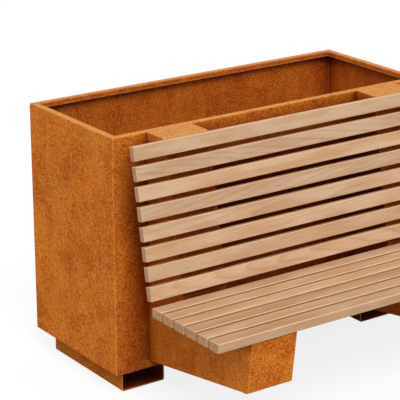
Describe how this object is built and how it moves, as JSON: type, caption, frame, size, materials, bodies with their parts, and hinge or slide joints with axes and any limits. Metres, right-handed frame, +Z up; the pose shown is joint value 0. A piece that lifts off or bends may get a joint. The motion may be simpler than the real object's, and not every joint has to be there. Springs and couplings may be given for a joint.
{
  "type": "bench with planter",
  "caption": "Slatted hardwood bench seat and leaning back on boxed steel brackets, carried by an open rectangular planter of rusted weathering steel that stands on low tube feet.",
  "frame": {"origin": "on the ground, under the middle of the whole part's bounding box", "axes": "+X along the bench, to the right of someone who looks at its front; -Y is the side that people sit on and +Y the planter's back; +Z is up"},
  "size_m": [1.5, 1.2624, 1.0424],
  "materials": {
    "weathering_steel": "even orange-brown rust of weathering steel, matt",
    "hardwood": "light pink-tan hardwood, planed, bare",
    "fasteners": "zinc-plated hexagon bolts and nuts"
  },
  "bodies": {
    "root": {"back_slat_1": "hardwood", "back_slat_2": "hardwood", "back_slat_3": "hardwood", "back_slat_4": "hardwood", "back_slat_5": "hardwood", "back_slat_6": "hardwood", "back_slat_7": "hardwood", "back_slat_8": "hardwood", "left_bracket_back_plate": "weathering_steel", "left_bracket_bolt_1": "fasteners", "left_bracket_bolt_2": "fasteners", "left_bracket_bolt_3": "fasteners", "left_bracket_bolt_4": "fasteners", "left_bracket_left_cheek": "weathering_steel", "left_bracket_nut_1": "fasteners", "left_bracket_nut_2": "fasteners", "left_bracket_nut_3": "fasteners", "left_bracket_nut_4": "fasteners", "left_bracket_rib": "weathering_steel", "left_bracket_right_cheek": "weathering_steel", "left_bracket_seat_plate": "weathering_steel", "left_foot": "weathering_steel", "planter_floor": "weathering_steel", "planter_front_wall": "weathering_steel", "planter_left_end": "weathering_steel", "planter_rear_wall": "weathering_steel", "planter_right_end": "weathering_steel", "right_bracket_back_plate": "weathering_steel", "right_bracket_bolt_1": "fasteners", "right_bracket_bolt_2": "fasteners", "right_bracket_bolt_3": "fasteners", "right_bracket_bolt_4": "fasteners", "right_bracket_left_cheek": "weathering_steel", "right_bracket_nut_1": "fasteners", "right_bracket_nut_2": "fasteners", "right_bracket_nut_3": "fasteners", "right_bracket_nut_4": "fasteners", "right_bracket_rib": "weathering_steel", "right_bracket_right_cheek": "weathering_steel", "right_bracket_seat_plate": "weathering_steel", "right_foot": "weathering_steel", "seat_slat_1": "hardwood", "seat_slat_2": "hardwood", "seat_slat_3": "hardwood", "seat_slat_4": "hardwood", "seat_slat_5": "hardwood", "seat_slat_6": "hardwood"}
  },
  "joints": []
}
